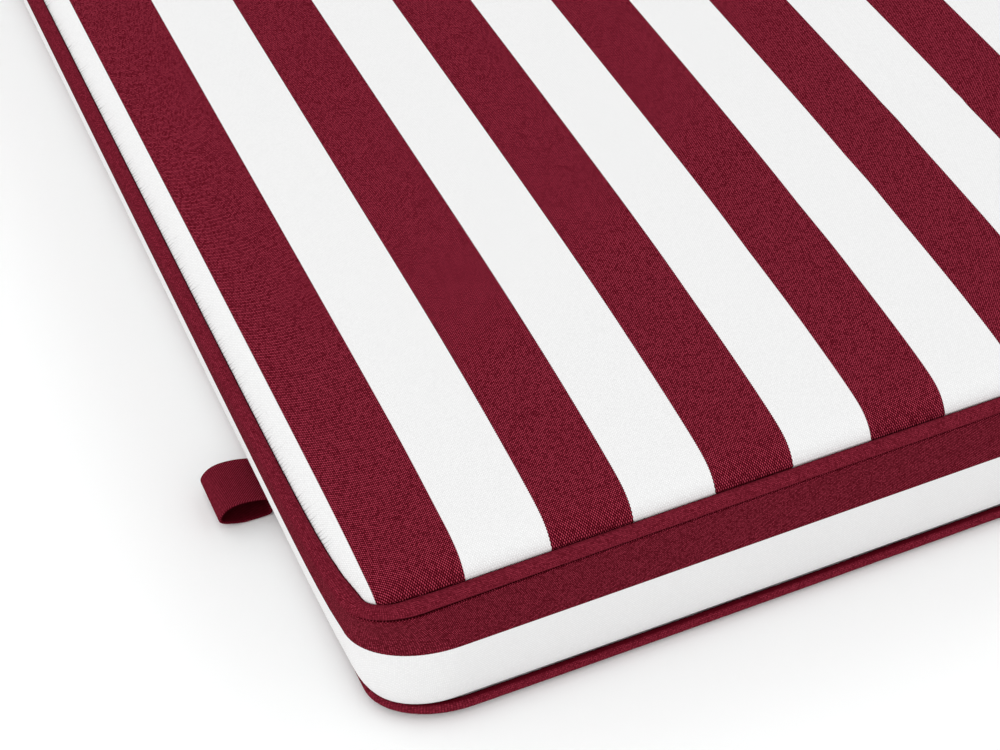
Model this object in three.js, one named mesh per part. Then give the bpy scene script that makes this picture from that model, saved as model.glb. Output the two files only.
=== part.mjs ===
// Sun lounger cushion: a box cushion in striped canvas, lying on its underside.
// Millimetres, +Z up, +Y along the length. The origin is the middle of the underside.
import * as THREE from 'three';

// Plan of the cover at the face of the side band, between the lines of its corners
const WIDTH = 581;
const LENGTH = 1900;

// Corners are tight at the top seam and rounder below it, and longer across than along the cushion
const CORNER_RADIUS = { lip: 9, top: 17, middle: 29, bottom: 22 };
const CORNER_SHAPE = { across: 1.14, along: 0.76 };
const CORNER_DROP = 1.6;
const CORNER_LIFT = 1.6;
const CORNER_FADE = 55;

// Away from its corners the filling pushes a long side out, and a short side is drawn in
const SIDE_FILL = { depth: 1.8, reach: 16, height: 30 };
const TOP_SWELL = { depth: 1.5, reach: 120 };
const DRAW_IN = 0.4;

// The top seam is pinched in towards its corners
const PINCH = { long: { depth: 2.2, reach: 14 }, short: { depth: 0.9, reach: 8 } };
const PINCH_FADE = 20;

// Heights of the two seams, of the crown above the top seam and of the resting face
const TOP_SEAM_Z = 65.6;
const BOTTOM_SEAM_Z = 3.2;
const CROWN = 20;
const FLOOR_Z = 0;

// The crown climbs from the seam in a quick roll and a slow one
const CROWN_ROLL = { quick: 12.5, slow: 80, quickShare: 0.57 };
const CROWN_INSETS = [0, 3, 7, 13, 22, 36, 58, 90, 140, 205, 265];
const CORNER_GROWTH = 0.8;
const ROUNDEST_CORNER = 0.95;

// The underside leaves its seam in one roll and is flat from the last inset inwards
const UNDERSIDE_ROLL = 9;
const UNDERSIDE_LIFT = 2.6;
const UNDERSIDE_INSETS = [0, 4, 10, 20];
const UNDERSIDE_FLAT_INSET = 34;

// Low down the band turns in towards the bottom seam, far more on the long sides
const TUCK = { startZ: 36, power: 3.4, long: 7.8, short: 0.6 };

// Cloth, covered cord in the seams, and the clearance between neighbouring pieces
const BAND_THICKNESS = 1.4;
const CLEARANCE = 0.45;
const TOP_PIPING = { radius: 2.6, outset: 2.2, corner: 15.4, spread: 2.46, pinch: 1 };
const BOTTOM_PIPING = { radius: 2.15, outset: 1.3, corner: 26, spread: 1, pinch: 0 };
const BAND_TOP_Z = TOP_SEAM_Z - 5.5;
const BAND_BOTTOM_Z = BOTTOM_SEAM_Z + 2.7;
const BAND_STEPS = 7;
const SEAM_LIP = { inset: 0.75, top: TOP_SEAM_Z + 0.2, bottom: TOP_SEAM_Z - 1, foot: TOP_SEAM_Z - 1.45 };

// Towards its top edge the band stands out in a shoulder, which dips at the corners under the piping
const SHOULDER = { out: 2.4, fromZ: 26, power: 1.5, neck: 1.8 };
const EDGE_DIP = { depth: 1.3, height: 12 };

// Stations along a side, by their distance from its nearer corner, and steps round an arc or a cord
const LONG_STATIONS = [7, 18, 36, 80, 190, 420, 700];
const SHORT_STATIONS = [6, 16, 40, 110];
const CORNER_STEPS = 8;
const PIPING_SIDES = 10;

// Ribbon loop: a short tape doubled over and sewn into the bottom seam of the -X side
const TAPE_WIDTH = 22.4;
const TAPE_THICKNESS = 1.4;
const LOOP_FROM_END = 121.2;
const LOOP_ROOT_Z = 7.6;
const LOOP_ROOT_TOP_Z = 8.8;
const LOOP_REACH = 19.8;
const LOOP_FOLD_Z = 5.2;
const LOOP_HALF_HEIGHT = 5.6;
const LOOP_FULLNESS = 0.45;
const LOOP_STEPS = 25;
const LOOP_SEWN_ANGLE = 0.3;
const LOOP_OPEN_ANGLE = 0.62;

const WINE = 0x76222f;
const WHITE = 0xf2f1ef;
const CANVAS_ROUGHNESS = 0.9;
const TAPE_ROUGHNESS = 0.8;

function clothMaterial(color, roughness) {
  return new THREE.MeshStandardMaterial({ color, roughness, metalness: 0 });
}

// How far a side stands out from the line between its corners, at a distance from the nearer one
function outwardStep(side, distance, share, { fill, swell, pinch }) {
  const settled = (reach) => 1 - Math.exp(-distance / reach);
  const released = pinch * PINCH[side].depth * settled(PINCH[side].reach);
  if (side === 'short') {
    return released - fill * DRAW_IN * Math.sin(Math.PI * share) ** 2;
  }
  const filled = fill * SIDE_FILL.depth * settled(SIDE_FILL.reach);
  return released + filled + swell * TOP_SWELL.depth * settled(TOP_SWELL.reach);
}

// One closed outline round the plan: four corner arcs joined by sides that fill out or are drawn in.
// insetLong and insetShort move the long and the short sides inwards, and lift raises the corners.
function planRing({ insetLong, insetShort, z, cornerRadius, lift = 0, fill = 0, swell = 0, pinch = 0 }) {
  const halfWidth = WIDTH / 2 - insetLong - pinch * PINCH.long.depth;
  const halfLength = LENGTH / 2 - insetShort - pinch * PINCH.short.depth;
  const radius = Math.min(cornerRadius, ROUNDEST_CORNER * halfWidth / CORNER_SHAPE.across);
  const across = radius * CORNER_SHAPE.across;
  const along = radius * CORNER_SHAPE.along;
  const arcs = [[1, -1], [1, 1], [-1, 1], [-1, -1]].map(([sx, sy], index) => (
    Array.from({ length: CORNER_STEPS + 1 }, (_, step) => {
      const angle = (index - 1 + step / CORNER_STEPS) * Math.PI / 2;
      const x = sx * (halfWidth - across) + across * Math.cos(angle);
      const y = sy * (halfLength - along) + along * Math.sin(angle);
      return new THREE.Vector2(x, y);
    })
  ));
  const ring = [];
  arcs.forEach((arc, index) => {
    ring.push(...arc);
    const start = arc[CORNER_STEPS];
    const end = arcs[(index + 1) % arcs.length][0];
    const side = index % 2 === 0 ? 'long' : 'short';
    const length = start.distanceTo(end);
    const outward = new THREE.Vector2(end.y - start.y, start.x - end.x).normalize();
    sideShares(side).forEach((share) => {
      const point = new THREE.Vector2().lerpVectors(start, end, share);
      const distance = length * Math.min(share, 1 - share);
      ring.push(point.addScaledVector(outward, outwardStep(side, distance, share, { fill, swell, pinch })));
    });
  });
  return ring.map(({ x, y }) => {
    const fromCorner = Math.hypot(WIDTH / 2 - Math.abs(x), LENGTH / 2 - Math.abs(y));
    return new THREE.Vector3(x, y, z + lift * Math.exp(-fromCorner / CORNER_FADE));
  });
}

// Stations from one end of a side to the other, as shares of its length
function sideShares(side) {
  const shares = side === 'long'
    ? LONG_STATIONS.map((station) => station / LENGTH)
    : SHORT_STATIONS.map((station) => station / WIDTH);
  return [...shares, 0.5, ...shares.map((share) => 1 - share).reverse()];
}

// How far the shoulder stands out at a height: it grows to the band's top edge and ends above it
function shoulderOut(z) {
  const { out, fromZ, power, neck } = SHOULDER;
  if (z > BAND_TOP_Z) {
    return out * Math.max(0, 1 - (z - BAND_TOP_Z) / neck);
  }
  return out * Math.max(0, (z - fromZ) / (BAND_TOP_Z - fromZ)) ** power;
}

// The face of the band at a height: how far it has turned in, its corners and their lift
function bandFace(z) {
  const tucked = Math.max(0, (TUCK.startZ - z) / (TUCK.startZ - BOTTOM_SEAM_Z)) ** TUCK.power;
  const up = (z - BOTTOM_SEAM_Z) / (TOP_SEAM_Z - BOTTOM_SEAM_Z);
  const { top, middle, bottom } = CORNER_RADIUS;
  const fuller = (4 * up * (1 - up)) ** 2 * (middle - (top + bottom) / 2);
  const shoulder = shoulderOut(z);
  const belowEdge = BAND_TOP_Z - z;
  const dip = belowEdge < 0 ? 0 : 1 - THREE.MathUtils.smoothstep(belowEdge, 0, EDGE_DIP.height);
  return {
    insetLong: TUCK.long * tucked - shoulder,
    insetShort: TUCK.short * tucked - shoulder,
    cornerRadius: THREE.MathUtils.lerp(bottom, top, up) + fuller + shoulder,
    lift: THREE.MathUtils.lerp(CORNER_LIFT, -CORNER_DROP, up) - EDGE_DIP.depth * dip,
    fill: THREE.MathUtils.smoothstep(z - BOTTOM_SEAM_Z, 0, SIDE_FILL.height),
    swell: Math.max(0, 2 * up - 1),
    pinch: 0,
    z,
  };
}

// The outline of a layer that lies a little behind the face of the band, or in front of it
function layerRing(face, inset) {
  return planRing({
    ...face,
    insetLong: face.insetLong + inset,
    insetShort: face.insetShort + inset,
    cornerRadius: face.cornerRadius - inset,
  });
}

function bandHeights() {
  return Array.from({ length: BAND_STEPS + 1 }, (_, step) => (
    THREE.MathUtils.lerp(BAND_BOTTOM_Z, BAND_TOP_Z, step / BAND_STEPS)
  ));
}

// A closed body over rings of equal count, listed so that the skin between them faces out.
// A looped body joins its last ring to its first; any other has a fan over each end.
function loftRings(rings, looped) {
  const count = rings[0].length;
  const points = rings.flat();
  const index = [];
  const strips = looped ? rings.length : rings.length - 1;
  for (let strip = 0; strip < strips; strip += 1) {
    const lower = strip * count;
    const upper = ((strip + 1) % rings.length) * count;
    for (let step = 0; step < count; step += 1) {
      const next = (step + 1) % count;
      index.push(lower + step, lower + next, upper + next);
      index.push(lower + step, upper + next, upper + step);
    }
  }
  if (!looped) {
    const last = (rings.length - 1) * count;
    const bottomHub = points.push(new THREE.Vector3(0, 0, rings[0][0].z)) - 1;
    const topHub = points.push(new THREE.Vector3(0, 0, rings[rings.length - 1][0].z)) - 1;
    for (let step = 0; step < count; step += 1) {
      const next = (step + 1) % count;
      index.push(bottomHub, next, step);
      index.push(topHub, last + step, last + next);
    }
  }
  const geometry = new THREE.BufferGeometry().setFromPoints(points);
  geometry.setIndex(index);
  geometry.computeVertexNormals();
  return geometry;
}

// Outlines of the underside from its flat middle out to the bottom seam
function undersideRings(behindBand) {
  const edge = bandFace(BOTTOM_SEAM_Z);
  const rings = [...UNDERSIDE_INSETS, UNDERSIDE_FLAT_INSET].map((inset) => {
    const flat = inset >= UNDERSIDE_FLAT_INSET;
    const rise = flat ? 0 : Math.exp(-inset / UNDERSIDE_ROLL);
    return planRing({
      insetLong: edge.insetLong + behindBand + inset,
      insetShort: edge.insetShort + behindBand + inset,
      cornerRadius: BOTTOM_PIPING.corner + CORNER_GROWTH * inset,
      lift: CORNER_LIFT * rise,
      z: FLOOR_Z + UNDERSIDE_LIFT * rise,
    });
  });
  return rings.reverse();
}

function crownHeight(inset) {
  const { quick, slow, quickShare } = CROWN_ROLL;
  const quickRoll = quickShare * Math.exp(-inset / quick);
  const slowRoll = (1 - quickShare) * Math.exp(-inset / slow);
  return CROWN * (1 - quickRoll - slowRoll);
}

// The pinched outline of the top seam at a height, where the top panel meets its piping
function seamRing(z, inset) {
  return planRing({
    insetLong: inset,
    insetShort: inset,
    cornerRadius: CORNER_RADIUS.lip,
    lift: -CORNER_DROP,
    fill: 1,
    swell: 1,
    pinch: 1,
    z,
  });
}

// Outlines of the top panel from the top seam up to the crown
function crownRings() {
  return CROWN_INSETS.map((inset) => {
    const slack = 1 - 2 * inset / WIDTH;
    return planRing({
      insetLong: SEAM_LIP.inset + inset,
      insetShort: SEAM_LIP.inset + inset,
      cornerRadius: CORNER_RADIUS.lip + CORNER_GROWTH * inset,
      lift: -CORNER_DROP,
      fill: slack,
      swell: slack,
      pinch: Math.exp(-inset / PINCH_FADE),
      z: SEAM_LIP.top + crownHeight(inset),
    });
  });
}

// Top and bottom panels round the filling: underside, sides behind the band, lip and crown
function cushionGeometry() {
  const behindBand = BAND_THICKNESS + CLEARANCE;
  const [footZ, ...sideHeights] = bandHeights();
  const foot = { ...bandFace(footZ), cornerRadius: BOTTOM_PIPING.corner };
  const sides = [
    layerRing(foot, behindBand + CLEARANCE),
    ...sideHeights.map((z) => layerRing(bandFace(z), behindBand)),
  ];
  const lip = [
    seamRing(BAND_TOP_Z + SHOULDER.neck, behindBand),
    seamRing(SEAM_LIP.foot, behindBand),
    seamRing(SEAM_LIP.bottom, SEAM_LIP.inset),
  ];
  return loftRings([...undersideRings(behindBand), ...sides, ...lip, ...crownRings()], false);
}

// One strip of canvas round the four sides, a closed sheet between the two seams
function boxingBandGeometry() {
  const outer = bandHeights().map((z) => layerRing(bandFace(z), 0));
  const inner = bandHeights().map((z) => layerRing(bandFace(z), BAND_THICKNESS));
  return loftRings([...outer, ...inner.reverse()], true);
}

// Covered cord sewn into a seam all the way round.
// At a corner its inner side may bend tighter than its outer side.
function pipingGeometry(seamZ, { radius, outset, corner, spread, pinch }) {
  const seam = bandFace(seamZ);
  const rings = Array.from({ length: PIPING_SIDES }, (_, side) => {
    const angle = (side + 0.5) * 2 * Math.PI / PIPING_SIDES;
    const outward = radius * Math.cos(angle);
    const ring = planRing({
      ...seam,
      insetLong: seam.insetLong - outset - outward,
      insetShort: seam.insetShort - outset - outward,
      cornerRadius: corner + spread * outward,
      pinch: pinch * (1 - Math.cos(angle)) / 2,
    });
    const rise = radius * Math.sin(angle);
    return ring.map((point) => point.setZ(point.z + rise));
  });
  return loftRings(rings, true);
}

// Section of the doubled tape, seen along the length: a drop with its point at the seam
function loopPoint(rootX, angle, offset) {
  const place = (turn) => {
    const reach = (1 - Math.cos(turn)) / 2;
    const swell = Math.sin(turn) * Math.sin(turn / 2) ** LOOP_FULLNESS;
    const middle = THREE.MathUtils.lerp(LOOP_ROOT_Z, LOOP_FOLD_Z, reach);
    return new THREE.Vector2(rootX - LOOP_REACH * reach, middle + LOOP_HALF_HEIGHT * swell);
  };
  const turnStep = 1e-3;
  const along = place(angle + turnStep).sub(place(angle - turnStep)).normalize();
  return place(angle).add(new THREE.Vector2(along.y, -along.x).multiplyScalar(offset));
}

function loopOutline(rootX, firstAngle, offset) {
  return Array.from({ length: LOOP_STEPS + 1 }, (_, step) => {
    const angle = THREE.MathUtils.lerp(firstAngle, 2 * Math.PI - firstAngle, step / LOOP_STEPS);
    return loopPoint(rootX, angle, offset);
  });
}

// The root of the loop stands against the face of the band, just above the bottom piping
function ribbonLoopGeometry() {
  const face = bandFace(LOOP_ROOT_TOP_Z);
  const stepOut = outwardStep('long', LOOP_FROM_END, LOOP_FROM_END / LENGTH, face);
  const rootX = -WIDTH / 2 + face.insetLong - stepOut - CLEARANCE;
  const section = new THREE.Shape(loopOutline(rootX, LOOP_SEWN_ANGLE, TAPE_THICKNESS / 2));
  section.holes.push(new THREE.Path(loopOutline(rootX, LOOP_OPEN_ANGLE, -TAPE_THICKNESS / 2)));
  const geometry = new THREE.ExtrudeGeometry(section, { depth: TAPE_WIDTH, bevelEnabled: false });
  geometry.rotateX(Math.PI / 2);
  geometry.translate(0, LOOP_FROM_END - LENGTH / 2 + TAPE_WIDTH / 2, 0);
  return geometry;
}

const cushion = new THREE.Group();

function addPiece(name, geometry, material) {
  const mesh = new THREE.Mesh(geometry, material);
  mesh.name = name;
  cushion.add(mesh);
}

const topPiping = pipingGeometry(TOP_SEAM_Z, TOP_PIPING);
const bottomPiping = pipingGeometry(BOTTOM_SEAM_Z, BOTTOM_PIPING);
addPiece('cushion', cushionGeometry(), clothMaterial(WHITE, CANVAS_ROUGHNESS));
addPiece('boxing_band', boxingBandGeometry(), clothMaterial(WINE, CANVAS_ROUGHNESS));
addPiece('piping_top', topPiping, clothMaterial(WINE, CANVAS_ROUGHNESS));
addPiece('piping_bottom', bottomPiping, clothMaterial(WINE, CANVAS_ROUGHNESS));
addPiece('ribbon_loop', ribbonLoopGeometry(), clothMaterial(WINE, TAPE_ROUGHNESS));

export default cushion;
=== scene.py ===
# %% [markdown]
# # A striped sun lounger cushion
# A box cushion is a few sewn pieces: a top and a bottom panel round the filling, a band round the sides,
# a covered cord in each of the two seams, and here one ribbon loop for a tie.
# The solids that come with the frame say where each piece lies. This lesson gives each of them its cloth.

# %% Load the frame
import math

import bmesh
import bpy
import numpy as np
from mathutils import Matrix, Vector


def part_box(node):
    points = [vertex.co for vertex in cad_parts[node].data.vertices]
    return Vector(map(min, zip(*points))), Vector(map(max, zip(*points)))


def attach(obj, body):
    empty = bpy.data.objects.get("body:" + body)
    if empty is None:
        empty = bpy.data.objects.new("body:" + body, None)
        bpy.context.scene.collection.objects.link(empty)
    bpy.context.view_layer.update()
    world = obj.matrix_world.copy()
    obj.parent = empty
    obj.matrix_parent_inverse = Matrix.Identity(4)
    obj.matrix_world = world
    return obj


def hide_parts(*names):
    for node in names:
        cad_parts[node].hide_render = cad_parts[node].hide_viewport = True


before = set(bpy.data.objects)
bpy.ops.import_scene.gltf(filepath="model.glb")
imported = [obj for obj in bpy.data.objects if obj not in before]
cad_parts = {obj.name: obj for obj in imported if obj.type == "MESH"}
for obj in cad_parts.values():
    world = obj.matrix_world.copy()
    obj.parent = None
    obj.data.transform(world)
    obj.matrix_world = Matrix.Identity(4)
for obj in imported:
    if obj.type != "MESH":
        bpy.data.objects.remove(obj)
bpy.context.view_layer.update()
MM = 0.001


def in_mm(corner):
    return [round(value / MM, 1) for value in corner]


# %% [markdown]
# ## Main sizes
# Every piece follows the same plan, so the plan is worked out once. The half sizes and the two seams are
# measured on the frame. What the eye notices on a real cushion is written here by name: how round
# the corners are, how far the sides pull in, and how the band turns under towards the floor.

# %% Sizes from the frame, and the sewn shape
CORD_RADIUS = {"top": 2.6 * MM, "bottom": 2.15 * MM}
PIPING_OUTSET = {"top": 2.2 * MM, "bottom": 1.3 * MM}
CORNER_RADIUS = {"lip": 9 * MM, "top": 17 * MM, "middle": 29 * MM, "bottom": 22 * MM}
CORNER_SHAPE = {"across": 1.14, "along": 0.76}
CORNER_DROP = 1.6 * MM
CORNER_LIFT = 1.6 * MM
CORNER_FADE = 55 * MM
DRAW_IN = 0.4 * MM
SIDE_FILL = 1.8 * MM
SIDE_FILL_REACH = 16 * MM
SIDE_FILL_HEIGHT = 30 * MM
TOP_SWELL = 1.5 * MM
TOP_SWELL_REACH = 120 * MM
PINCH = {"long": 2.2 * MM, "short": 0.9 * MM}
PINCH_REACH = {"long": 14 * MM, "short": 8 * MM}
TUCK_START = 36 * MM
TUCK = {"long": 7.8 * MM, "short": 0.6 * MM}
TUCK_POWER = 3.4

CORD_FACETS = 10
top_low, top_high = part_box("piping_top")
cord_reach = PIPING_OUTSET["top"] + CORD_RADIUS["top"] * math.cos(math.pi / CORD_FACETS)
HALF_WIDTH = (top_high.x - top_low.x) / 2 - cord_reach - SIDE_FILL - TOP_SWELL
HALF_LENGTH = (top_high.y - top_low.y) / 2 - cord_reach
TOP_SEAM = top_high.z - CORD_RADIUS["top"]
BOTTOM_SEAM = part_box("piping_bottom")[0].z + CORD_RADIUS["bottom"]
print("half sizes and seams in mm:", in_mm((HALF_WIDTH, HALF_LENGTH, BOTTOM_SEAM, TOP_SEAM)))

# %% [markdown]
# ## One outline for every piece
# A ring is one closed outline seen from above: four corner arcs, two long sides that swell a little and
# two short sides that are drawn in. Lofting a stack of such rings gives panels, band and piping that fit
# each other exactly.
# Modelling them apart and nudging them together would leave gaps that show
# along a seam of almost five metres.

# %% A ring round the plan
ARC_STEPS = 20
LONG_STEPS = 186
SHORT_STEPS = 54
CORNERS = ((1, 1), (-1, 1), (-1, -1), (1, -1))
ROUNDEST_CORNER = 0.95


def corner_arcs(half_width, half_length, radius):
    radius = min(radius, ROUNDEST_CORNER * half_width / CORNER_SHAPE["across"])
    across = radius * CORNER_SHAPE["across"]
    along = radius * CORNER_SHAPE["along"]
    arcs = []
    for quarter, (side_x, side_y) in enumerate(CORNERS):
        angle = (quarter + np.linspace(0, 1, ARC_STEPS + 1)) * math.pi / 2
        x = side_x * (half_width - across) + across * np.cos(angle)
        y = side_y * (half_length - along) + along * np.sin(angle)
        arcs.append(np.c_[x, y])
    return arcs


def side_line(start, end, steps, outward):
    """Points between two corners, moved outward by a step that depends on the nearer corner's distance."""
    share = np.arange(1, steps)[:, None] / steps
    span = end - start
    length = max(np.linalg.norm(span), MM)
    out = np.array([span[1], -span[0]]) / length
    return start + span * share + out * outward(length * np.minimum(share, 1 - share), share)


def plan_ring(inset_long, inset_short, radius, z, lift=0.0, fill=1.0, swell=1.0, pinch=0.0):
    half_width = HALF_WIDTH - inset_long - pinch * PINCH["long"]
    half_length = HALF_LENGTH - inset_short - pinch * PINCH["short"]
    arcs = corner_arcs(half_width, half_length, radius)

    def long_side(distance, share):
        near = SIDE_FILL * fill * (1 - np.exp(-distance / SIDE_FILL_REACH))
        far = TOP_SWELL * swell * (1 - np.exp(-distance / TOP_SWELL_REACH))
        return near + far + PINCH["long"] * pinch * (1 - np.exp(-distance / PINCH_REACH["long"]))

    def short_side(distance, share):
        drawn = DRAW_IN * fill * np.sin(math.pi * share) ** 2
        return PINCH["short"] * pinch * (1 - np.exp(-distance / PINCH_REACH["short"])) - drawn

    points = []
    for quarter, arc in enumerate(arcs):
        next_arc = arcs[(quarter + 1) % 4]
        if quarter % 2 == 0:
            side = side_line(arc[-1], next_arc[0], SHORT_STEPS, short_side)
        else:
            side = side_line(arc[-1], next_arc[0], LONG_STEPS, long_side)
        points += [arc, side]
    plan = np.concatenate(points)
    from_corner = np.hypot(HALF_WIDTH - abs(plan[:, 0]), HALF_LENGTH - abs(plan[:, 1]))
    return np.c_[plan, z + lift * np.exp(-from_corner / CORNER_FADE)]


# %% The face of the side band at a height
def ease(share):
    share = min(max(share, 0.0), 1.0)
    return share * share * (3 - 2 * share)


def band_face(z):
    tucked = max(0.0, (TUCK_START - z) / (TUCK_START - BOTTOM_SEAM)) ** TUCK_POWER
    up = (z - BOTTOM_SEAM) / (TOP_SEAM - BOTTOM_SEAM)
    seam_radius = CORNER_RADIUS["bottom"] * (1 - up) + CORNER_RADIUS["top"] * up
    fuller = CORNER_RADIUS["middle"] - (CORNER_RADIUS["bottom"] + CORNER_RADIUS["top"]) / 2
    belly = (4 * up * (1 - up)) ** 2
    return {
        "inset_long": TUCK["long"] * tucked,
        "inset_short": TUCK["short"] * tucked,
        "radius": seam_radius + belly * fuller,
        "z": z,
        "lift": CORNER_LIFT * (1 - up) - CORNER_DROP * up,
        "fill": ease((z - BOTTOM_SEAM) / SIDE_FILL_HEIGHT),
        "swell": max(0.0, 2 * up - 1),
    }


def layer_ring(face, inset):
    """The ring of a layer that lies this far inside the band's face."""
    moved = {
        "inset_long": face["inset_long"] + inset,
        "inset_short": face["inset_short"] + inset,
        "radius": face["radius"] - inset,
    }
    return plan_ring(**{**face, **moved})


def seam_length(ring):
    closed = np.vstack([ring, ring[:1]])
    return np.r_[0, np.cumsum(np.linalg.norm(np.diff(closed, axis=0), axis=1))]


AROUND = seam_length(layer_ring(band_face(TOP_SEAM), 0))
print("stations round the plan:", len(AROUND) - 1, "and seam length in m:", round(AROUND[-1], 3))

# %% [markdown]
# ## From rings to a mesh
# `loft` joins a stack of rings with four-sided faces. It also writes two UV maps in metres:
# "cloth" says where a point was on the flat cloth, so that the weave keeps its real size,
# and "seam" says how far along a seam it lies and how far from it, so that gathers can follow the stitching.

# %% Faces and UV maps over a grid of rings
def grid_faces(rows, count, looped):
    row, step = np.meshgrid(np.arange(rows if looped else rows - 1), np.arange(count), indexing="ij")
    next_row = (row + 1) % rows
    next_step = (step + 1) % count
    near, far = row * count, next_row * count
    return np.stack([near + step, near + next_step, far + next_step, far + step], -1).reshape(-1, 4)


def write_uv(mesh, name, spots):
    layer = mesh.uv_layers.new(name=name)
    quads = np.stack([spots[:-1, :-1], spots[:-1, 1:], spots[1:, 1:], spots[1:, :-1]], 2)
    layer.data.foreach_set("uv", quads.astype(np.float32).ravel())


def places(across):
    """For every row and station of a grid, how far along the seam and how far across it lies."""
    return np.stack(np.meshgrid(across, AROUND, indexing="ij")[::-1], -1)


print("faces in a strip of two rings:", len(grid_faces(2, len(AROUND) - 1, False)))

# %% Loft rings into a smooth mesh
SAME_PLACE = 0.02 * MM
NO_LENGTH = 0.001 * MM


def loft(name, rings, cloth, seam, looped=False):
    rings = np.array(rings)
    mesh = bpy.data.meshes.new(name)
    mesh.from_pydata(rings.reshape(-1, 3), [], grid_faces(len(rings), rings.shape[1], looped).tolist())
    write_uv(mesh, "cloth", cloth)
    write_uv(mesh, "seam", seam)
    mesh.polygons.foreach_set("use_smooth", [True] * len(mesh.polygons))
    piece = bpy.data.objects.new(name, mesh)
    bpy.context.scene.collection.objects.link(piece)
    return piece


def merge_spine(piece):
    work = bmesh.new()
    work.from_mesh(piece.data)
    bmesh.ops.remove_doubles(work, verts=work.verts, dist=SAME_PLACE)
    bmesh.ops.dissolve_degenerate(work, edges=work.edges, dist=NO_LENGTH)
    print(piece.name, "open edges:", sum(edge.is_boundary for edge in work.edges))
    work.to_mesh(piece.data)
    work.free()


def report(piece):
    triangles = sum(len(face.vertices) - 2 for face in piece.data.polygons)
    print(piece.name, "triangles:", triangles, "size in mm:", in_mm(piece.dimensions))


# %% [markdown]
# ## The camera
# The photograph looks down on one corner with a long lens. The camera is placed from that corner of the
# top piping, so it stays right if the cushion is made longer or wider.

# %% Camera at the photograph's angle
EYE_FROM_CORNER = (-125.1 * MM, -390.8 * MM, 507.8 * MM)
LOOKING_DOWN = math.radians(44.32)
LOOKING_RIGHT = math.radians(23.94)
LENS = 74.23
SENSOR_WIDTH = 36.0
NEAREST_SEEN = 0.05

camera_data = bpy.data.cameras.new("camera")
camera_data.lens = LENS
camera_data.sensor_width = SENSOR_WIDTH
camera_data.clip_start = NEAREST_SEEN
camera = bpy.data.objects.new("camera", camera_data)
camera.location = (
    EYE_FROM_CORNER[0] - HALF_WIDTH - PIPING_OUTSET["top"],
    EYE_FROM_CORNER[1] - HALF_LENGTH - PIPING_OUTSET["top"],
    EYE_FROM_CORNER[2] + TOP_SEAM,
)
camera.rotation_euler = (math.pi / 2 - LOOKING_DOWN, 0.0, -LOOKING_RIGHT)
bpy.context.scene.collection.objects.link(camera)
bpy.context.scene.camera = camera
print("camera in mm:", in_mm(camera.location))

# %% [markdown]
# ## The panels round the filling
# The top panel climbs from its seam in a quick roll and then slowly to a broad crown. The roll is tighter
# at the two ends than along the sides. The weight of the cushion presses the underside flat.
# Both panels belong to one closed, filled form: the last ring of each folds up on the middle line,
# and merging its points closes the form without a plug.

# %% The crown of the top panel
CROWN = 18 * MM
CROWN_QUICK = 15.5 * MM
CROWN_SLOW = 80 * MM
QUICK_SHARE = 0.57
END_QUICK = 3.8 * MM
END_SLOW = 76 * MM
END_QUICK_SHARE = 0.4
CORNER_GROWTH = 0.8
PANEL_RINGS = 34
RING_SPREAD = 5.2
LIP_INSET = 0.25 * MM
LIP_RISE = 1.55 * MM
LIP_FADE = 20 * MM


def panel_insets(reach):
    share = np.arange(PANEL_RINGS + 1) / PANEL_RINGS
    return reach * np.expm1(RING_SPREAD * share) / np.expm1(RING_SPREAD)


def crown_height(inset, quick, slow, quick_share):
    return CROWN * (1 - quick_share * math.exp(-inset / quick) - (1 - quick_share) * math.exp(-inset / slow))


def short_side_share():
    """For every station 1 on a short side and 0 on a long one, easing over round the corners."""
    turn = np.array([ease(step / ARC_STEPS) for step in range(ARC_STEPS + 1)])
    half_round = [turn, np.ones(SHORT_STEPS - 1), turn[::-1], np.zeros(LONG_STEPS - 1)]
    return np.concatenate(half_round * 2)


def crown_rings(insets):
    rings = []
    at_end = short_side_share()
    for inset in insets:
        sideways = LIP_INSET + inset
        radius = CORNER_RADIUS["lip"] + CORNER_GROWTH * inset
        side_height = crown_height(inset, CROWN_QUICK, CROWN_SLOW, QUICK_SHARE)
        end_height = crown_height(inset, END_QUICK, END_SLOW, END_QUICK_SHARE)
        height = TOP_SEAM + LIP_RISE + side_height + (end_height - side_height) * at_end
        slack = 1 - inset / HALF_WIDTH
        pinch = math.exp(-inset / LIP_FADE)
        rings.append(plan_ring(sideways, sideways, radius, height, -CORNER_DROP, slack, slack, pinch))
    return rings


top_insets = panel_insets(HALF_WIDTH - LIP_INSET)
top_rings = crown_rings(top_insets)
print("rings in the top panel:", len(top_rings))
print("height of its crown in mm:", round(top_rings[-1][:, 2].max() / MM, 1))

# %% The underside, pressed flat
BEHIND_PIPING = 3.0 * MM
UNDERSIDE_ROLL = 9 * MM
UNDERSIDE_LIFT = 2.6 * MM
UNDERSIDE_FLAT = 34 * MM


def underside_rings(insets):
    edge = band_face(BOTTOM_SEAM)
    rings = []
    for inset in insets:
        rise = max(0.0, math.exp(-inset / UNDERSIDE_ROLL) - math.exp(-UNDERSIDE_FLAT / UNDERSIDE_ROLL))
        sideways = BEHIND_PIPING + inset
        long_side = edge["inset_long"] + sideways
        short_side = edge["inset_short"] + sideways
        radius = edge["radius"] + CORNER_GROWTH * inset
        height, lift = UNDERSIDE_LIFT * rise, CORNER_LIFT * rise
        rings.append(plan_ring(long_side, short_side, radius, height, lift, fill=0.0, swell=0.0))
    return rings


under_insets = panel_insets(HALF_WIDTH - TUCK["long"] - BEHIND_PIPING)
bottom_rings = underside_rings(under_insets)
print("rings in the underside:", len(bottom_rings))

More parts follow.
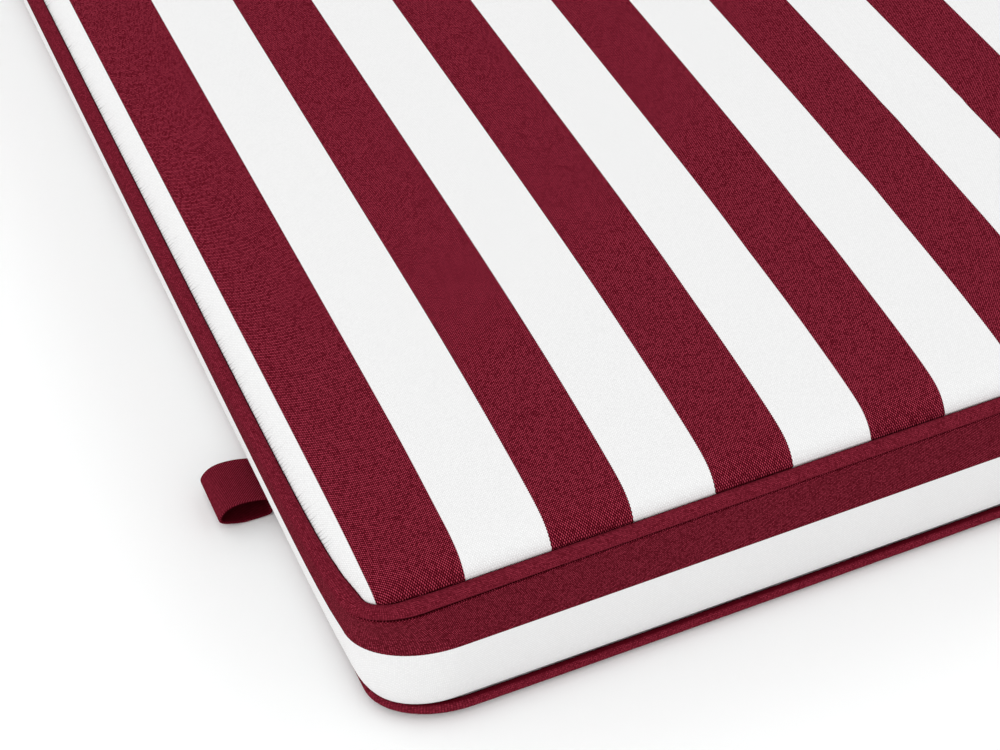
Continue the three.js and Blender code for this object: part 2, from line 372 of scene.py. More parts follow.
# %% [markdown]
# ## Let the top panel settle over the filling
# A real panel is cut flat and sewn at its edge, and the filling pushes it up until the cloth is taut.
# Blender's cloth does the same here: a coarse copy of the panel is pinned at its seam, held softly all over
# by springs that stand for the filling, and swells under pressure for twenty frames. Its small movement is
# capped and passed on to the fine rings, so the seam stays in place and the stripes keep their line.
# The panel starts a little low, because it swells.

# %% A coarse copy of the top panel
RING_STRIDE = 2
STATION_STRIDE = 4


def panel_proxy(grid):
    """A mesh object over a grid of rings, with the points that coincide on the middle line joined."""
    spots = np.round(grid.reshape(-1, 3) / SAME_PLACE)
    _, first, joined = np.unique(spots, axis=0, return_index=True, return_inverse=True)
    joined = joined.ravel()
    faces = [list(dict.fromkeys(joined[face].tolist())) for face in grid_faces(*grid.shape[:2], False)]
    mesh = bpy.data.meshes.new("panel_proxy")
    mesh.from_pydata(grid.reshape(-1, 3)[first], [], [face for face in faces if len(face) > 2])
    proxy = bpy.data.objects.new("panel_proxy", mesh)
    bpy.context.scene.collection.objects.link(proxy)
    return proxy, joined


# %% Swell it under pressure
PRESSURE = 4.0
CLOTH_FRAMES = 20
CLOTH_QUALITY = 8
STIFFNESS = 60.0
BENDING = 8.0
FILLING_HOLD = 0.3
FILLING_SPRING = 20.0


def swell(proxy, seam_points):
    """How far each point of the proxy has moved once the cloth has settled."""
    held = proxy.vertex_groups.new(name="held")
    held.add(list(range(len(proxy.data.vertices))), FILLING_HOLD, "REPLACE")
    held.add(seam_points, 1.0, "REPLACE")
    cloth = proxy.modifiers.new("settle", "CLOTH")
    cloth.settings.quality = CLOTH_QUALITY
    cloth.settings.tension_stiffness = STIFFNESS
    cloth.settings.compression_stiffness = STIFFNESS
    cloth.settings.shear_stiffness = STIFFNESS / 2
    cloth.settings.bending_stiffness = BENDING
    cloth.settings.vertex_group_mass = "held"
    cloth.settings.pin_stiffness = FILLING_SPRING
    cloth.settings.use_pressure = True
    cloth.settings.uniform_pressure_force = PRESSURE
    cloth.settings.effector_weights.gravity = 0.0
    cloth.collision_settings.use_collision = False
    cloth.point_cache.frame_end = CLOTH_FRAMES
    for moment in range(1, CLOTH_FRAMES + 1):
        bpy.context.scene.frame_set(moment)
    settled = proxy.evaluated_get(bpy.context.evaluated_depsgraph_get()).data
    before = np.array([vertex.co for vertex in proxy.data.vertices])
    after = np.array([vertex.co for vertex in settled.vertices])
    bpy.context.scene.frame_set(1)
    bpy.data.objects.remove(proxy)
    return after - before


# %% Cap the movement and pass it on to the fine rings
SWELL_CAP = 2.0 * MM
SMOOTHING = 6
MIDDLE_RINGS = 8
NO_MOVEMENT = 1e-9


def spread(coarse, rings, stations):
    """Coarse movement carried over to every ring and station, then evened out."""
    rows = np.arange(rings) / RING_STRIDE
    below = np.minimum(rows.astype(int), len(coarse) - 2)
    part = (rows - below)[:, None, None]
    fine = coarse[below] * (1 - part) + coarse[below + 1] * part
    steps = np.arange(stations) / STATION_STRIDE
    before = steps.astype(int)
    part = (steps - before)[None, :, None]
    fine = fine[:, before] * (1 - part) + fine[:, (before + 1) % coarse.shape[1]] * part
    for _ in range(SMOOTHING):
        fine = (np.roll(fine, 1, 1) + 2 * fine + np.roll(fine, -1, 1)) / 4
        fine[1:-1] = (fine[:-2] + 2 * fine[1:-1] + fine[2:]) / 4
    towards_middle = np.clip(1 - np.arange(rings)[::-1] / MIDDLE_RINGS, 0, 1)[:, None, None]
    middle = np.array([0, 0, fine[-MIDDLE_RINGS:, :, 2].mean()])
    print("swell in the middle, in mm:", round(middle[2] / MM, 2))
    return fine + (middle - fine) * towards_middle


def settle(rings):
    fine = np.array(rings)
    grid = fine[::RING_STRIDE, ::STATION_STRIDE]
    proxy, joined = panel_proxy(grid)
    moved = swell(proxy, [int(point) for point in joined[:grid.shape[1]]])
    length = np.linalg.norm(moved, axis=1, keepdims=True)
    print("cloth moved at most, in mm:", round(float(length.max()) / MM, 2))
    capped = moved * SWELL_CAP * np.tanh(length / SWELL_CAP) / np.maximum(length, NO_MOVEMENT)
    return list(fine + spread(capped[joined].reshape(grid.shape), *fine.shape[:2]))


top_rings = settle(top_rings)

# %% [markdown]
# ## Sew the panels into one form
# The underside, the sides behind the band and the settled top panel become one stack of rings.
# The "seam" map is prepared here too: gathers show along the sides, so it places the ends out of their reach,
# and it marks the sides as lying deep behind the seam.

# %% One filled form
SIDE_MARGIN = 3 * MM
SIDE_ROWS = 8
BEHIND_SEAM = 60 * MM
GATHER_END = 8 * MM
GATHER_FADE = 15 * MM
OUT_OF_REACH = 20 * MM

side_heights = np.linspace(BOTTOM_SEAM + SIDE_MARGIN, TOP_SEAM - SIDE_MARGIN, SIDE_ROWS)
side_rings = [layer_ring(band_face(z), BEHIND_PIPING) for z in side_heights]
panel_rings = [*bottom_rings[::-1], *side_rings, *top_rings]
from_seam = np.r_[under_insets[::-1], np.full(len(side_rings), -BEHIND_SEAM), top_insets]
closed_rings = np.array([np.vstack([ring, ring[:1]]) for ring in panel_rings])
lip = closed_rings[-len(top_insets)]
on_long_side = np.clip((HALF_LENGTH - GATHER_END - abs(lip[:, 1])) / GATHER_FADE, 0, 1)
seam_places = places(from_seam)
seam_places[..., 0] = closed_rings[..., 1]
seam_places[..., 1] += OUT_OF_REACH * (1 - on_long_side)
cover = loft("cover", panel_rings, closed_rings[:, :, :2], seam_places)
merge_spine(cover)
report(cover)

# %% [markdown]
# ## The boxing band
# One long strip of the same canvas runs round the four sides, cut along a stripe, so it shows
# wine above and white below. It is a thin sheet with an outer and an inner face.
# Its cloth coordinates run along the seam and up the strip, and the stripe follows them round the corners.

# %% The band's profile, from its bottom edge to its top edge
BAND_THICKNESS = 1.1 * MM
BAND_TOP = TOP_SEAM - 4.8 * MM
BAND_BOTTOM = BOTTOM_SEAM + 2.5 * MM
SHOULDER = 2.4 * MM
EDGE_DIP = 1.3 * MM
EDGE_DIP_DEPTH = 12 * MM
FULL_FROM = 26 * MM
EDGE_ROLL = BAND_THICKNESS / 2
ROLL_ROWS = 5
WALL_ROWS = 24
SHOULDER_POWER = 1.5


def band_profile():
    """Heights and outward steps of the outer face, rolled over at both edges of the strip."""
    roll = np.linspace(0, math.pi / 2, ROLL_ROWS + 1)[1:]
    wall_z = np.linspace(BAND_BOTTOM + EDGE_ROLL, BAND_TOP - EDGE_ROLL, WALL_ROWS)
    share = np.clip((wall_z - FULL_FROM) / (BAND_TOP - FULL_FROM), 0, 1)
    wall_out = SHOULDER * share ** SHOULDER_POWER
    inward = EDGE_ROLL * (np.cos(roll) - 1)
    foot_z = wall_z[0] - EDGE_ROLL * np.sin(roll)
    top_z = wall_z[-1] + EDGE_ROLL * np.sin(roll)
    heights = np.r_[foot_z[::-1], wall_z, top_z]
    return heights, np.r_[wall_out[0] + inward[::-1], wall_out, wall_out[-1] + inward]


band_z, band_out = band_profile()
band_cut = np.r_[0, np.cumsum(np.hypot(np.diff(band_z), np.diff(band_out)))]
print("band cut width in mm:", round(band_cut[-1] / MM, 1))

# %% Loft the band
band_faces = [band_face(z) for z in band_z]
for face in band_faces:
    face["lift"] -= EDGE_DIP * ease(1 - (BAND_TOP - face["z"]) / EDGE_DIP_DEPTH)
outer_rings = [layer_ring(face, -out) for face, out in zip(band_faces, band_out)]
band_back = band_out - BAND_THICKNESS
band_back[:ROLL_ROWS] = 2 * band_back[ROLL_ROWS] + BAND_THICKNESS - band_out[:ROLL_ROWS]
band_back[-ROLL_ROWS:] = 2 * band_back[-ROLL_ROWS - 1] + BAND_THICKNESS - band_out[-ROLL_ROWS:]
inner_rings = [layer_ring(face, -out) for face, out in zip(band_faces, band_back)][1:-1]
band_rows = np.r_[band_cut, band_cut[-2:0:-1], band_cut[:1]]
band = loft("boxing_band_cloth", outer_rings + inner_rings[::-1], places(band_rows), places(band_rows), True)
report(band)

# %% [markdown]
# ## The piping
# A thin cord is wrapped in cloth cut on the bias and caught in the seam. Cut that way the cloth bends round
# corners without wrinkles, and its threads run slantwise. The cloth coordinates repeat that by turning
# 45 degrees. The "seam" map holds the distance round the cord from a line on its inner side, and the cloth
# near that line is painted darker as painted shade.

# %% Loft the two pipings
PIPING_SIDES = 20
CORD_CORNER = {"top": 15.4 * MM, "bottom": 26 * MM}
CORNER_SPREAD = {"top": 2.46, "bottom": 1.0}
CORNER_PINCH = {"top": 1.0, "bottom": 0.0}
# Where the painted shade on each piping is darkest, as an angle round the cord from outward.
PAINTED_SHADE_ANGLE = {"top": math.radians(200), "bottom": math.radians(128)}


def piping(name, end, seam_z):
    face = band_face(seam_z)
    outset = PIPING_OUTSET[end]
    radius = CORD_RADIUS[end]
    rings = []
    for angle in np.linspace(0, 2 * math.pi, PIPING_SIDES, endpoint=False):
        outward = outset + radius * math.cos(angle)
        bend = CORD_CORNER[end] + CORNER_SPREAD[end] * radius * math.cos(angle)
        pinch = CORNER_PINCH[end] * (1 - math.cos(angle)) / 2
        ring = layer_ring(dict(face, radius=bend - outward, pinch=pinch), -outward)
        rings.append(ring + (0, 0, radius * math.sin(angle)))
    turn = np.linspace(0, 2 * math.pi, PIPING_SIDES + 1)
    straight = places(radius * turn)
    caught = places(radius * abs(turn - PAINTED_SHADE_ANGLE[end]))
    along, around = straight[..., 0], straight[..., 1]
    bias = np.stack([along + around, along - around], -1) / math.sqrt(2)
    piece = loft(name, rings, bias, caught, True)
    report(piece)
    return piece


piping_top = piping("piping_top_cloth", "top", TOP_SEAM)
piping_bottom = piping("piping_bottom_cloth", "bottom", BOTTOM_SEAM)

# %% [markdown]
# ## The ribbon loop
# A short length of twill tape is doubled over and caught in the bottom seam. Seen along the cushion it is
# a drop: narrow where it is sewn and round at the fold. The tape is swept along that drop with softly rounded
# edges, and ends a hair's breadth from the band and the piping.

# %% The line of the tape, seen along the cushion
TAPE_THICKNESS = 1.3 * MM
TAPE_WIDTH = 22.4 * MM
LOOP_FROM_END = 121.2 * MM
LOOP_MIDDLE = LOOP_FROM_END - HALF_LENGTH
LOOP_LINE = MM * np.array([
    (-287.2, 8.52), (-289.0, 9.35), (-293.0, 10.5), (-297.0, 11.1), (-300.6, 11.05), (-303.3, 10.2),
    (-305.3, 8.7), (-306.5, 7.0), (-306.8, 5.5), (-306.3, 4.2), (-304.6, 3.0), (-301.4, 1.85),
    (-298.0, 1.0), (-294.0, 0.75), (-290.0, 0.75), (-287.9, 1.1), (-287.15, 2.4), (-286.9, 4.3),
])
LOOP_STEPS = 6


def smooth_line(points, steps):
    """A curve through every point, bending evenly from one to the next."""
    padded = np.vstack([2 * points[0] - points[1], points, 2 * points[-1] - points[-2]])
    line = []
    for before, start, end, after in zip(padded, padded[1:], padded[2:], padded[3:]):
        share = np.linspace(0, 1, steps, endpoint=False)[:, None]
        bend = 2 * before - 5 * start + 4 * end - after
        twist = 3 * start - before - 3 * end + after
        line.append(start + 0.5 * share * ((end - before) + share * (bend + share * twist)))
    return np.vstack([*line, points[-1:]])


loop_line = smooth_line(LOOP_LINE, LOOP_STEPS)
print("points along the tape:", len(loop_line))

# %% Sweep the tape along its line
EDGE_STEPS = 6
FACE_STEPS = 12


def tape_section():
    """Offsets across the tape and through it: two flat faces joined by half-round selvedges."""
    half = TAPE_WIDTH / 2 - TAPE_THICKNESS / 2
    face = np.linspace(-half, half, FACE_STEPS)
    bend = np.linspace(-math.pi / 2, math.pi / 2, EDGE_STEPS + 2)[1:-1]
    edge = np.c_[np.cos(bend), np.sin(bend)] * TAPE_THICKNESS / 2
    upper = np.c_[face[::-1], np.full(FACE_STEPS, TAPE_THICKNESS / 2)]
    lower = np.c_[face, np.full(FACE_STEPS, -TAPE_THICKNESS / 2)]
    return np.vstack([lower, edge + (half, 0), upper, -edge + (-half, 0)])


def ribbon_loop(middle):
    tangent = np.gradient(middle, axis=0)
    tangent /= np.linalg.norm(tangent, axis=1)[:, None]
    outward = np.c_[tangent[:, 1], -tangent[:, 0]]
    section = tape_section()
    rings = []
    for place, out in zip(middle, outward):
        x = place[0] + out[0] * section[:, 1]
        z = place[1] + out[1] * section[:, 1]
        rings.append(np.c_[x, LOOP_MIDDLE + section[:, 0], z])
    along = seam_length(middle)[:-1]
    across = np.r_[section[:, 0], section[:1, 0]]
    through = np.r_[section[:, 1], section[:1, 1]]
    cloth = np.stack(np.meshgrid(along, across, indexing="ij"), -1)
    faces = np.stack(np.meshgrid(along, through, indexing="ij"), -1)
    return loft("ribbon_loop_tape", rings, cloth, faces), along[-1]


loop, TAPE_LENGTH = ribbon_loop(loop_line)
print("tape length in mm:", round(TAPE_LENGTH / MM, 1))

# %% Close the sewn ends of the tape
def close_ends(piece):
    work = bmesh.new()
    work.from_mesh(piece.data)
    rims = [edge for edge in work.edges if edge.is_boundary]
    bmesh.ops.holes_fill(work, edges=rims, sides=0)
    bmesh.ops.recalc_face_normals(work, faces=work.faces)
    work.to_mesh(piece.data)
    work.free()


close_ends(loop)
report(loop)

# %% [markdown]
# ## Helpers for shader nodes
# Cloth is mostly arithmetic: where a thread lies, which one is on top, how far a stitch pulls.
# These helpers let that arithmetic be written as short lines, each one a Math node.

# %% Node helpers
def feed(tree, socket, value):
    if isinstance(value, bpy.types.NodeSocket):
        tree.links.new(value, socket)
    else:
        socket.default_value = value


def maths(tree, operation, *values):
    node = tree.nodes.new("ShaderNodeMath")
    node.operation = operation
    for socket, value in zip(node.inputs, values):
        feed(tree, socket, value)
    return node.outputs[0]


def blend_colours(tree, share, first, second):
    node = tree.nodes.new("ShaderNodeMix")
    node.data_type = "RGBA"
    feed(tree, node.inputs["Factor"], share)
    feed(tree, node.inputs["A"], first)
    feed(tree, node.inputs["B"], second)
    return node.outputs["Result"]


def smooth_step(tree, value, low, high):
    node = tree.nodes.new("ShaderNodeMapRange")
    node.interpolation_type = "SMOOTHSTEP"
    feed(tree, node.inputs["Value"], value)
    feed(tree, node.inputs["From Min"], low)
    feed(tree, node.inputs["From Max"], high)
    return node.outputs["Result"]


def noise(tree, vector, scale, detail=2.0):
    node = tree.nodes.new("ShaderNodeTexNoise")
    feed(tree, node.inputs["Vector"], vector)
    feed(tree, node.inputs["Scale"], scale)
    feed(tree, node.inputs["Detail"], detail)
    return node.outputs["Fac"]


def stretched(tree, vector, scale):
    node = tree.nodes.new("ShaderNodeVectorMath")
    node.operation = "MULTIPLY"
    feed(tree, node.inputs[0], vector)
    feed(tree, node.inputs[1], scale)
    return node.outputs[0]


def split(tree, vector):
    node = tree.nodes.new("ShaderNodeSeparateXYZ")
    feed(tree, node.inputs[0], vector)
    return node.outputs[0], node.outputs[1]


# %% Making and placing node groups
def new_group(name, inputs, outputs):
    tree = bpy.data.node_groups.new(name, "ShaderNodeTree")
    for label, kind in inputs:
        tree.interface.new_socket(label, in_out="INPUT", socket_type=kind)
    for label in outputs:
        tree.interface.new_socket(label, in_out="OUTPUT", socket_type="NodeSocketFloat")
    return tree, tree.nodes.new("NodeGroupInput").outputs, tree.nodes.new("NodeGroupOutput").inputs


def place_group(tree, group, **values):
    node = tree.nodes.new("ShaderNodeGroup")
    node.node_tree = group
    for label, value in values.items():
        feed(tree, node.inputs[label], value)
    return node.outputs


# %% [markdown]
# ## Plain canvas weave
# Canvas is the simplest weave: each thread passes over one and under the next. Multiplying two sine waves
# gives exactly that chequer: its size is the round back of a thread, and its sign says which thread
# is on top. Slub is the slow change of thickness along a thread, and fleck gives every crossing its own tone.
# All the canvas on the cushion uses this one group, so it is cut from one cloth.

# %% The weave as a node group
YARN_PITCH = 0.45 * MM
OVER_EDGE = 0.35
SLUB_ALONG = 420
SLUB_ACROSS = 2200
VECTOR = "NodeSocketVector"
FLOAT = "NodeSocketFloat"


def canvas_weave_group():
    sockets = [("Cloth", VECTOR), ("Pitch", FLOAT)]
    tree, given, result = new_group("canvas_weave", sockets, ["Height", "Over", "Slub", "Fleck"])
    across, along = split(tree, given["Cloth"])
    turn = maths(tree, "DIVIDE", math.pi, given["Pitch"])
    warp = maths(tree, "SINE", maths(tree, "MULTIPLY", across, turn))
    weft = maths(tree, "SINE", maths(tree, "MULTIPLY", along, turn))
    chequer = maths(tree, "MULTIPLY", warp, weft)
    feed(tree, result["Height"], maths(tree, "ABSOLUTE", chequer))
    feed(tree, result["Over"], smooth_step(tree, chequer, -OVER_EDGE, OVER_EDGE))
    crossing = tree.nodes.new("ShaderNodeTexWhiteNoise")
    crossing.noise_dimensions = "2D"
    cell = tree.nodes.new("ShaderNodeVectorMath")
    cell.operation = "FLOOR"
    feed(tree, cell.inputs[0], stretched(tree, given["Cloth"], (1 / YARN_PITCH, 1 / YARN_PITCH, 1)))
    feed(tree, crossing.inputs["Vector"], cell.outputs[0])
    feed(tree, result["Fleck"], crossing.outputs["Value"])
    warp_slub = noise(tree, stretched(tree, given["Cloth"], (SLUB_ACROSS, SLUB_ALONG, 1)), 1.0)
    weft_slub = noise(tree, stretched(tree, given["Cloth"], (SLUB_ALONG, SLUB_ACROSS, 1)), 1.0)
    feed(tree, result["Slub"], maths(tree, "MULTIPLY", maths(tree, "ADD", warp_slub, weft_slub), 0.5))
    return tree


canvas_weave = canvas_weave_group()
print("group", canvas_weave.name, "nodes:", len(canvas_weave.nodes))

# %% [markdown]
# ## Gathers along a seam
# Where a panel is sewn to the piping, each stitch pulls the cloth into a tiny gather that fades within a few
# millimetres. A wave along the seam, roughened by noise, makes them, and the distance from the seam
# fades them out. The noise also lets some gathers reach further than others. Each gather is raised by a
# bump, and the shade in its fold is painted into the colour.

# %% The gathers as a node group
WOBBLE_SCALE = (260, 120, 1)
WOBBLE_DRIFT = 2.5
REACH_GAIN = 2.4
REACH_LOSS = 0.6
REACH_LEAST = 0.15
FOLD_SHADE = (0.5, 0.95)


def seam_gather_group():
    sockets = [("Seam", VECTOR), ("Stitch", FLOAT), ("Reach", FLOAT)]
    tree, given, result = new_group("seam_gather", sockets, ["Height", "Shade"])
    along, signed_inset = split(tree, given["Seam"])
    inset = maths(tree, "MAXIMUM", signed_inset, 0.0)
    wobble = noise(tree, stretched(tree, given["Seam"], WOBBLE_SCALE), 1.0)
    drift = maths(tree, "MULTIPLY", wobble, WOBBLE_DRIFT)
    shifted = maths(tree, "ADD", maths(tree, "DIVIDE", along, given["Stitch"]), drift)
    wave = maths(tree, "SINE", maths(tree, "MULTIPLY", shifted, 2 * math.pi))
    uneven = maths(tree, "SUBTRACT", maths(tree, "MULTIPLY", wobble, REACH_GAIN), REACH_LOSS)
    reach = maths(tree, "MULTIPLY", given["Reach"], maths(tree, "MAXIMUM", uneven, REACH_LEAST))
    fade = maths(tree, "EXPONENT", maths(tree, "MULTIPLY", maths(tree, "DIVIDE", inset, reach), -1.0))
    feed(tree, result["Height"], maths(tree, "MULTIPLY", wave, fade))
    feed(tree, result["Shade"], maths(tree, "MULTIPLY", smooth_step(tree, wave, *FOLD_SHADE), fade))
    return tree


seam_gather = seam_gather_group()
print("group", seam_gather.name, "nodes:", len(seam_gather.nodes))

# %% [markdown]
# ## Stripes
# The stripes are woven in, so their edges follow the threads and look finely toothed from close by.
# The group measures how far a point lies from the middle of its stripe and lets the weave push the edge
# to and fro.

# %% The stripes as a node group
EDGE_BLUR = 0.05 * MM


def stripe_group():
    sockets = [("Across", FLOAT), ("Period", FLOAT), ("Width", FLOAT), ("Over", FLOAT), ("Tooth", FLOAT)]
    tree, given, result = new_group("woven_stripe", sockets, ["Mask"])
    turn = maths(tree, "FRACT", maths(tree, "DIVIDE", given["Across"], given["Period"]))
    off_middle = maths(tree, "ABSOLUTE", maths(tree, "SUBTRACT", turn, 0.5))
    distance = maths(tree, "MULTIPLY", off_middle, given["Period"])
    tooth = maths(tree, "MULTIPLY", maths(tree, "SUBTRACT", given["Over"], 0.5), given["Tooth"])
    edge = maths(tree, "MULTIPLY", given["Width"], 0.5)
    inside = maths(tree, "SUBTRACT", edge, maths(tree, "ADD", distance, tooth))
    feed(tree, result["Mask"], smooth_step(tree, inside, -EDGE_BLUR, EDGE_BLUR))
    return tree


woven_stripe = stripe_group()
print("group", woven_stripe.name, "nodes:", len(woven_stripe.nodes))

# %% [markdown]
# ## The cloth materials
# Every material mixes a shaded and a lit thread colour by the weave, and raises the threads a little with
# a bump. Canvas is matt, so the shader has no gloss; only the band, seen at a slant, gets a faint wine sheen.
# Numbers that are the same all over sit on the shader's own sockets.

# %% Thread colours and the shared shader
WINE_DEEP = (0.05, 0.0004, 0.003, 1)
WINE_LIT = (0.48, 0.052, 0.094, 1)
WINE_IN_SEAM_AND_SLIT_SHADE = (0.2, 0.01, 0.025, 1)
WHITE_DEEP = (0.755, 0.755, 0.755, 1)
WHITE_LIT = (0.89, 0.89, 0.89, 1)
CLOTH_ROUGHNESS = 0.95
SHEEN_ROUGHNESS = 0.5
BUMP_STRENGTH = 0.6


def new_material(name, roughness=CLOTH_ROUGHNESS, sheen=0.0):
    material = bpy.data.materials.new(name)
    material.use_nodes = True
    shader = material.node_tree.nodes["Principled BSDF"]
    shader.inputs["Roughness"].default_value = roughness
    shader.inputs["Specular IOR Level"].default_value = 0.0
    shader.inputs["Sheen Weight"].default_value = sheen
    shader.inputs["Sheen Roughness"].default_value = SHEEN_ROUGHNESS
    return material, material.node_tree, shader


def uv(tree, name):
    node = tree.nodes.new("ShaderNodeUVMap")
    node.uv_map = name
    return node.outputs[0]


def raise_threads(tree, shader, height, depth):
    node = tree.nodes.new("ShaderNodeBump")
    node.inputs["Strength"].default_value = BUMP_STRENGTH
    node.inputs["Distance"].default_value = depth
    feed(tree, node.inputs["Height"], height)
    feed(tree, shader.inputs["Normal"], node.outputs[0])


# %% How much of the lit colour a thread shows
SLUB_TONE = 0.6
FLECK_TONE = 1.45
LEAST_TONE = 0.1


def scaled(tree, value, gain, base=0.0):
    return maths(tree, "ADD", maths(tree, "MULTIPLY", value, gain), base)


def thread_share(tree, weave, lit_gain=1.0):
    """0 in the hollow between two threads, rising to 1 or more on a bright one; mixing stops at 1."""
    lit = maths(tree, "MULTIPLY", weave["Height"], weave["Over"])
    tone = maths(tree, "ADD", scaled(tree, weave["Slub"], SLUB_TONE, LEAST_TONE),
                 maths(tree, "MULTIPLY", weave["Fleck"], FLECK_TONE))
    return maths(tree, "MULTIPLY", maths(tree, "MULTIPLY", lit, tone), lit_gain)


# %% Striped canvas for the panels
PANEL_LIT_GAIN = 1.08
CANVAS_DEPTH = 0.12 * MM
STITCH = 1.6 * MM
GATHER_REACH = 1.35 * MM
GATHER_SHADE = 0.75
GATHER_HEIGHT = 2.5
GATHER_SHADE_COLOUR = (0.06, 0.05, 0.05, 1)
ALLOWANCE_FROM = (1 * MM, 2 * MM)
STRIPE_PERIOD = 60 * MM
STRIPE_WIDTH = 29.7 * MM
STRIPE_TOOTH = 0.15 * MM


def panel_canvas():
    material, tree, shader = new_material("striped_canvas_panels")
    weave = place_group(tree, canvas_weave, Cloth=uv(tree, "cloth"), Pitch=YARN_PITCH)
    gather = place_group(tree, seam_gather, Seam=uv(tree, "seam"), Stitch=STITCH, Reach=GATHER_REACH)
    across, _ = split(tree, uv(tree, "cloth"))
    stripe = place_group(tree, woven_stripe, Across=across, Period=STRIPE_PERIOD, Width=STRIPE_WIDTH,
                         Over=weave["Over"], Tooth=STRIPE_TOOTH)
    share = thread_share(tree, weave, PANEL_LIT_GAIN)
    wine = blend_colours(tree, share, WINE_DEEP, WINE_LIT)
    white = blend_colours(tree, share, WHITE_DEEP, WHITE_LIT)
    colour = blend_colours(tree, stripe["Mask"], white, wine)
    # Painted shade: the fold of each gather is darkened towards a near-black colour, most at the seam.
    shade = maths(tree, "MULTIPLY", gather["Shade"], GATHER_SHADE)
    gather_shaded = blend_colours(tree, shade, colour, GATHER_SHADE_COLOUR)
    # Behind the piping the cloth turned into the seam is a plain wine: the piping's seam allowance, and
    # painted shade that keeps the slit under the piping dark.
    _, inset = split(tree, uv(tree, "seam"))
    seam_allowance_and_shade = smooth_step(tree, maths(tree, "MULTIPLY", inset, -1.0), *ALLOWANCE_FROM)
    feed(tree, shader.inputs["Base Color"], blend_colours(tree, seam_allowance_and_shade, gather_shaded, WINE_IN_SEAM_AND_SLIT_SHADE))
    height = maths(tree, "ADD", weave["Height"], maths(tree, "MULTIPLY", gather["Height"], GATHER_HEIGHT))
    raise_threads(tree, shader, height, CANVAS_DEPTH)
    return material


# %% Striped canvas for the band
BAND_STRIPE_EDGE = 34.2 * MM
# The band shows less of the lit thread colour than the panels: painted shade on its upright faces.
BAND_LIT_GAIN_WITH_PAINTED_SHADE = 0.72
BAND_SHEEN = 0.04
BAND_SHEEN_TINT = (1.0, 0.25, 0.3, 1)


def band_canvas():
    material, tree, shader = new_material("striped_canvas_band", sheen=BAND_SHEEN)
    shader.inputs["Sheen Tint"].default_value = BAND_SHEEN_TINT
    weave = place_group(tree, canvas_weave, Cloth=uv(tree, "cloth"), Pitch=YARN_PITCH)
    _, up = split(tree, uv(tree, "cloth"))
    edge_cut = float(np.interp(BAND_STRIPE_EDGE, band_z, band_cut))
    above_edge = maths(tree, "SUBTRACT", up, edge_cut)
    tooth = maths(tree, "MULTIPLY", maths(tree, "SUBTRACT", weave["Over"], 0.5), STRIPE_TOOTH)
    mask = smooth_step(tree, maths(tree, "ADD", above_edge, tooth), -EDGE_BLUR, EDGE_BLUR)
    # Painted shade: the band's threads are darker than the same canvas on the panels.
    share = thread_share(tree, weave, BAND_LIT_GAIN_WITH_PAINTED_SHADE)
    wine = blend_colours(tree, share, WINE_DEEP, WINE_LIT)
    white = blend_colours(tree, share, WHITE_DEEP, WHITE_LIT)
    feed(tree, shader.inputs["Base Color"], blend_colours(tree, mask, white, wine))
    raise_threads(tree, shader, weave["Height"], CANVAS_DEPTH)
    return material


# %% Wine canvas on the bias for the piping
PAINTED_SHADE_FULL_TO = 1.6 * MM
PAINTED_SHADE_GONE_AT = 2.9 * MM
PAINTED_SHADE_TONE = 0.15
PIPING_THREADS = 0.28
PIPING_GRAIN = 0.145
PIPING_DEPTH = 0.08 * MM


def piping_canvas():
    material, tree, shader = new_material("piping_canvas")
    weave = place_group(tree, canvas_weave, Cloth=uv(tree, "cloth"), Pitch=YARN_PITCH)
    grain = maths(tree, "MULTIPLY", maths(tree, "ADD", weave["Fleck"], weave["Slub"]), PIPING_GRAIN)
    full = scaled(tree, thread_share(tree, weave), PIPING_THREADS, grain)
    # Painted shade: the cloth is darkened near the line on the cord's inner side, where it turns into the
    # seam.
    _, shade_line_distance = split(tree, uv(tree, "seam"))
    outside_painted_shade = smooth_step(tree, shade_line_distance, PAINTED_SHADE_FULL_TO, PAINTED_SHADE_GONE_AT)
    share = maths(tree, "MULTIPLY", full, scaled(tree, outside_painted_shade, 1 - PAINTED_SHADE_TONE, PAINTED_SHADE_TONE))
    feed(tree, shader.inputs["Base Color"], blend_colours(tree, share, WINE_DEEP, WINE_LIT))
    raise_threads(tree, shader, weave["Height"], PIPING_DEPTH)
    return material


# %% Twill tape for the loop
TWILL_PITCH = 1.0 * MM
TWILL_SHARPNESS = 2.0
TWILL_TONE = 0.78
TWILL_SLUB = (500, 2200, 1)
TWILL_DEPTH = 0.15 * MM
LOOP_INSIDE_PAINTED_SHADE = 0.3
FACE_BLUR = 0.3 * MM


def twill_tape():
    material, tree, shader = new_material("twill_tape")
    along, across = split(tree, uv(tree, "cloth"))
    slant = maths(tree, "DIVIDE", maths(tree, "ADD", along, across), TWILL_PITCH)
    rib = maths(tree, "ABSOLUTE", maths(tree, "SINE", maths(tree, "MULTIPLY", slant, math.pi)))
    slub = noise(tree, stretched(tree, uv(tree, "cloth"), TWILL_SLUB), 1.0)
    lit = maths(tree, "POWER", rib, TWILL_SHARPNESS)
    full = maths(tree, "MULTIPLY", lit, maths(tree, "MULTIPLY", slub, TWILL_TONE))
    # Painted shade: the face of the tape turned to the inside of the loop shows less of the lit colour.
    _, through = split(tree, uv(tree, "seam"))
    face = smooth_step(tree, through, -FACE_BLUR, FACE_BLUR)
    share = maths(tree, "MULTIPLY", full, scaled(tree, face, 1 - LOOP_INSIDE_PAINTED_SHADE, LOOP_INSIDE_PAINTED_SHADE))
    feed(tree, shader.inputs["Base Color"], blend_colours(tree, share, WINE_DEEP, WINE_LIT))
    raise_threads(tree, shader, rib, TWILL_DEPTH)
    return material


# %% Dress the pieces
for piece, material in (
    (cover, panel_canvas()),
    (band, band_canvas()),
    (piping_top, piping_canvas()),
    (piping_bottom, bpy.data.materials["piping_canvas"]),
    (loop, twill_tape()),
):
    piece.data.materials.append(material)
    print(piece.name, "wears", material.name)
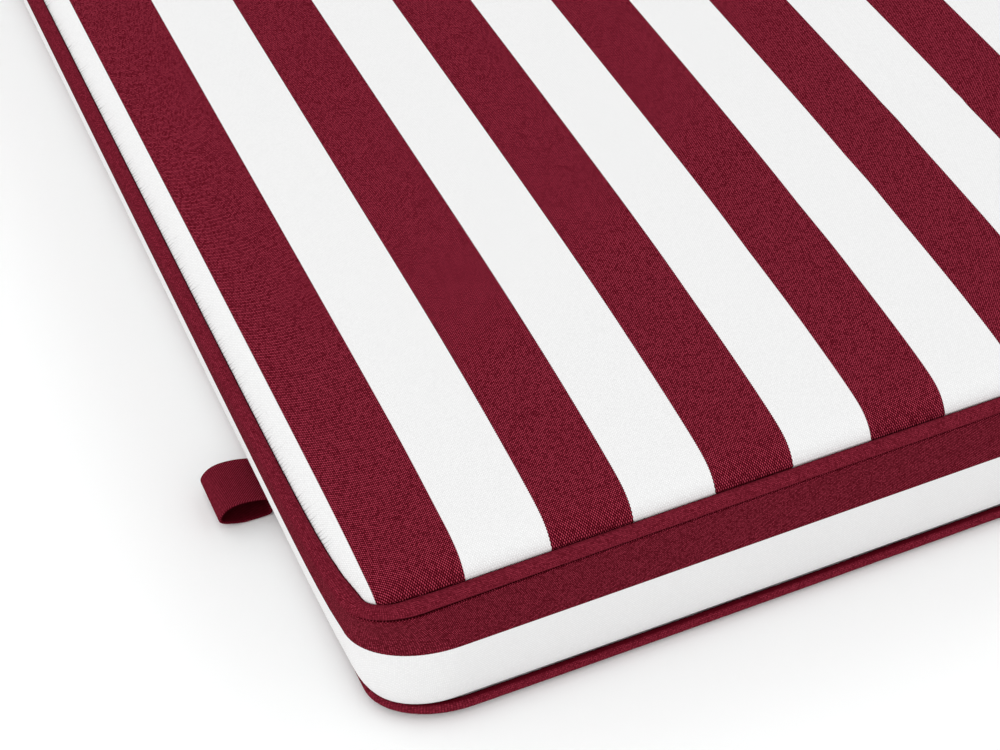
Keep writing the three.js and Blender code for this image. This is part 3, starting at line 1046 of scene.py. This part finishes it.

# %% [markdown]
# ## Put each piece in place of its solid
# Each piece rides on the one body and stands for its CAD solid, which is hidden.

# %% Ride and replace
for piece, node, slot in (
    (cover, "cushion", "striped_canvas"),
    (band, "boxing_band", "striped_canvas"),
    (piping_top, "piping_top", "piping_cloth"),
    (piping_bottom, "piping_bottom", "piping_cloth"),
    (loop, "ribbon_loop", "loop_tape"),
):
    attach(piece, "root")
    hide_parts(node)

# %% [markdown]
# ## Floor and light
# The cushion lies on a plain white floor under an even white sky, as in a light tent. One large soft lamp
# from the upper left models the roll of the edges without hard shadows.

# %% Floor
FLOOR_HALF = 6.0
FLOOR_DROP = 0.2 * MM
FLOOR_COLOUR = (0.968, 0.985, 0.983, 1)

floor_mesh = bpy.data.meshes.new("floor")
floor_corners = [(FLOOR_HALF * x, FLOOR_HALF * y, 0) for x, y in ((-1, -1), (1, -1), (1, 1), (-1, 1))]
floor_mesh.from_pydata(floor_corners, [], [(0, 1, 2, 3)])
floor = bpy.data.objects.new("floor", floor_mesh)
floor.location.z = -FLOOR_DROP
bpy.context.scene.collection.objects.link(floor)
floor_material, _, floor_shader = new_material("floor_paper", roughness=1.0)
floor_shader.inputs["Base Color"].default_value = FLOOR_COLOUR
floor.data.materials.append(floor_material)
print("floor in m:", 2 * FLOOR_HALF, "square")

# %% Sky and lamp
SKY_STRENGTH = 1.12
LAMP_FROM_CORNER = (-2.5, -1.0, 1.8)
LAMP_SIZE = 2.6
LAMP_WATTS = 14.0

world = bpy.data.worlds.new("light_tent")
world.use_nodes = True
sky = world.node_tree.nodes["Background"]
sky.inputs["Color"].default_value = (1, 1, 1, 1)
sky.inputs["Strength"].default_value = SKY_STRENGTH
bpy.context.scene.world = world

lamp_data = bpy.data.lights.new("soft_lamp", "AREA")
lamp_data.shape = "DISK"
lamp_data.size = LAMP_SIZE
lamp_data.energy = LAMP_WATTS
lamp = bpy.data.objects.new("soft_lamp", lamp_data)
corner = Vector((-HALF_WIDTH, -HALF_LENGTH, 0))
lamp.location = corner + Vector(LAMP_FROM_CORNER)
lamp.rotation_euler = (-Vector(LAMP_FROM_CORNER)).to_track_quat("-Z", "Y").to_euler()
bpy.context.scene.collection.objects.link(lamp)
bpy.context.scene.view_settings.view_transform = "Standard"
print("sky strength:", SKY_STRENGTH, "lamp watts:", LAMP_WATTS)
